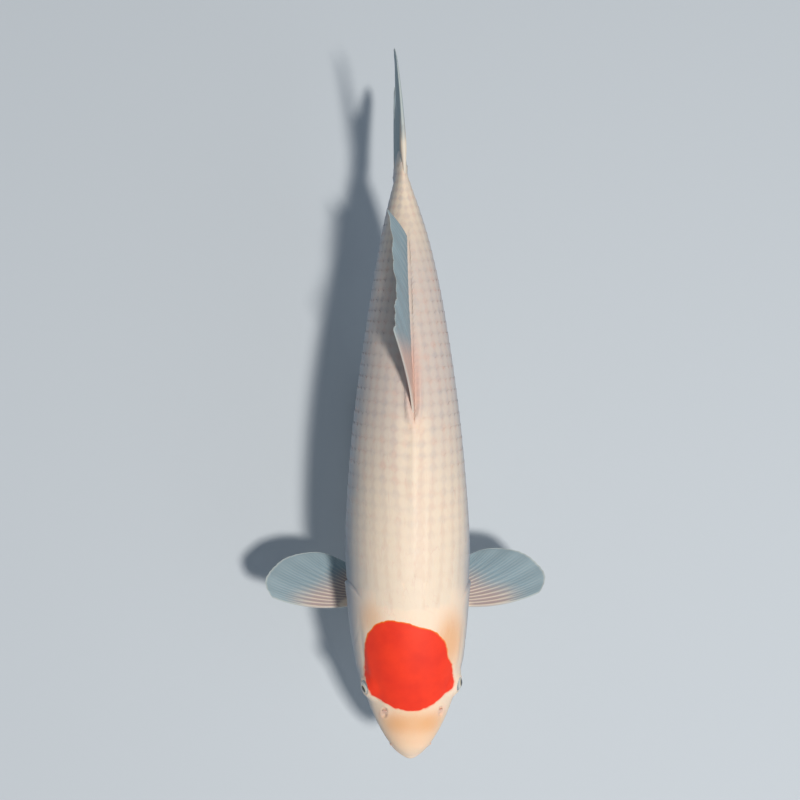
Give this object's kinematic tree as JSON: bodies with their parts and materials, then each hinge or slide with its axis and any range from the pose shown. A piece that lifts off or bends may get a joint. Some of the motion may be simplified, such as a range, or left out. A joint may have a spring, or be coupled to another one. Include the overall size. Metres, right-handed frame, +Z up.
{
  "type": "koi carp",
  "caption": "Life-size white koi carp with a round red mark on its head, in a level swimming pose on a plain display stand with short rods.",
  "frame": {"origin": "on the floor, under the middle of the fish's length and of the span of its pectoral fins", "axes": "-Y towards the snout and +Y towards the tail, +Z up towards the back, +X towards the fish's left side"},
  "size_m": [0.2243, 0.551, 0.2243],
  "materials": {
    "koi_skin": "wet satin skin, creamy white with fine scales and a vermilion mark on the head",
    "koi_lip": "wet satin flesh, peach",
    "koi_fin": "thin satin membrane over rays, cream at the root and grey-blue at the margin",
    "koi_eye": "polished, dark pupil in a pale iris",
    "stand_paint": "satin pale grey paint",
    "stand_steel": "brushed"
  },
  "bodies": {
    "root": {"head": "koi_skin", "lower_jaw": "koi_skin", "gill_cover_left": "koi_skin", "gill_cover_right": "koi_skin", "trunk_front": "koi_skin", "trunk_rear": "koi_skin", "tail_stalk": "koi_skin", "upper_lip": "koi_lip", "lower_lip": "koi_lip", "barbel_front_left": "koi_lip", "barbel_front_right": "koi_lip", "barbel_rear_left": "koi_lip", "barbel_rear_right": "koi_lip", "eye_left": "koi_eye", "eye_right": "koi_eye", "dorsal_fin": "koi_fin", "anal_fin": "koi_fin", "pectoral_fin_left": "koi_fin", "pectoral_fin_right": "koi_fin", "pelvic_fin_left": "koi_fin", "pelvic_fin_right": "koi_fin", "tail_fin_upper": "koi_fin", "tail_fin_lower": "koi_fin", "stand_base": "stand_paint", "stand_rod_front": "stand_steel", "stand_rod_rear": "stand_steel"}
  },
  "joints": []
}
